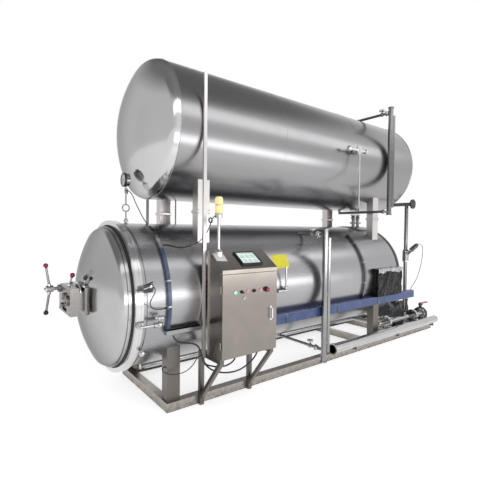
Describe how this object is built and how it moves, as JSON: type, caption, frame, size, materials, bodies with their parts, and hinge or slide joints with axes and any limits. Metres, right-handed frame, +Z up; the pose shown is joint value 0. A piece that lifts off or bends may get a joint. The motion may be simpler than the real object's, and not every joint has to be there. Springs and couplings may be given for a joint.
{
  "type": "retort sterilizer",
  "caption": "Horizontal retort sterilizer with a swinging dished door, an upper hot-water tank, a control cabinet, a skid and rear pump piping.",
  "frame": {"origin": "on the floor, under the middle of the skid's front beam, on the vessels' middle plane", "axes": "+X along the vessels from the door to the rear, -Y towards the control cabinet, +Z up"},
  "size_m": [5.5386, 1.7273, 3.177],
  "materials": {
    "skid_steel": "satin, darkened",
    "shell_steel": "brushed cladding sheet",
    "polished_steel": "mirror polished",
    "ring_steel": "machined",
    "plate_steel": "satin",
    "black_rubber": "matt",
    "red_knob": "moulded",
    "column_steel": "pale satin",
    "cabinet_steel": "fine brushed",
    "black_plastic": "moulded",
    "amber_lamp": "clear moulded",
    "blue_film": "protective film on steel",
    "pipe_steel": "pickled pipe",
    "pump_paint": "dark enamel",
    "black_film": "crumpled wrapping film",
    "cord_rubber": "matt sheath"
  },
  "bodies": {
    "plant": {"skid_side_beams": "skid_steel", "skid_end_beams": "skid_steel", "skid_cross_beams": "skid_steel", "vessel_legs": "skid_steel", "retort_shell": "plate_steel", "retort_rear_head": "plate_steel", "jacket": "shell_steel", "jacket_rear_cover": "shell_steel", "rear_edge_band": "black_rubber", "door_ring": "ring_steel", "door_hinge_lugs": "plate_steel", "basket_rails": "plate_steel", "column_feet": "column_steel", "column_heads": "column_steel", "tank_shell": "shell_steel", "tank_front_head": "polished_steel", "tank_rear_head": "polished_steel", "cabinet_body": "cabinet_steel", "cabinet_brackets": "skid_steel", "touch_screen": "black_plastic", "beacon_pole": "column_steel", "beacon_lamp": "amber_lamp", "cable_conduit": "column_steel", "cable_trunks": "blue_film", "hoop_ducts": "blue_film", "retort_level_gauge": "pipe_steel", "tank_level_gauge": "pipe_steel", "bottom_header": "pipe_steel", "drain_pipe": "pipe_steel", "pump": "pump_paint", "pump_pipe": "pipe_steel", "butterfly_valve": "black_plastic", "pump_riser": "pipe_steel", "riser_flange": "black_plastic", "riser_valve": "pipe_steel", "wrapped_box": "black_film", "pressure_gauge": "pipe_steel", "tank_gauge": "pipe_steel", "neck_fittings": "pipe_steel", "vent_valves": "pipe_steel", "gauge_lead": "cord_rubber", "beacon_lead": "cord_rubber", "switch_lead": "cord_rubber", "sensor_lead": "cord_rubber", "long_cable": "cord_rubber", "short_cable": "cord_rubber", "tank_lead": "cord_rubber", "pump_cable": "cord_rubber", "air_hose": "cord_rubber"},
    "door": {"door_head": "polished_steel", "door_rim": "polished_steel", "door_arm": "plate_steel", "lock_housing": "plate_steel", "lock_levers": "plate_steel"},
    "handle": {"door_handle": "plate_steel", "handle_knobs": "red_knob"},
    "cabinet_door": {"cabinet_door": "cabinet_steel", "cabinet_controls": "black_plastic", "cabinet_handle": "plate_steel"},
    "valve_lever": {"butterfly_lever": "red_knob"}
  },
  "joints": [
    {"name": "door_swing", "type": "hinge", "parent": "plant", "child": "door", "pos_m": [-0.38386, 0.745, 0.963], "axis": [0, 0, -1], "range_deg": [0, 115]},
    {"name": "handle_turn", "type": "hinge", "parent": "door", "child": "handle", "pos_m": [-0.81, 0.15, 1.04], "axis": [1, 0, 0], "continuous": true},
    {"name": "cabinet_door_swing", "type": "hinge", "parent": "plant", "child": "cabinet_door", "pos_m": [0.25, -0.9013, 0.845], "axis": [0, 0, -1], "range_deg": [0, 110]},
    {"name": "valve_lever_turn", "type": "hinge", "parent": "plant", "child": "valve_lever", "pos_m": [4.47, -0.44, 0.404], "axis": [0, 0, 1], "range_deg": [0, 90]}
  ]
}
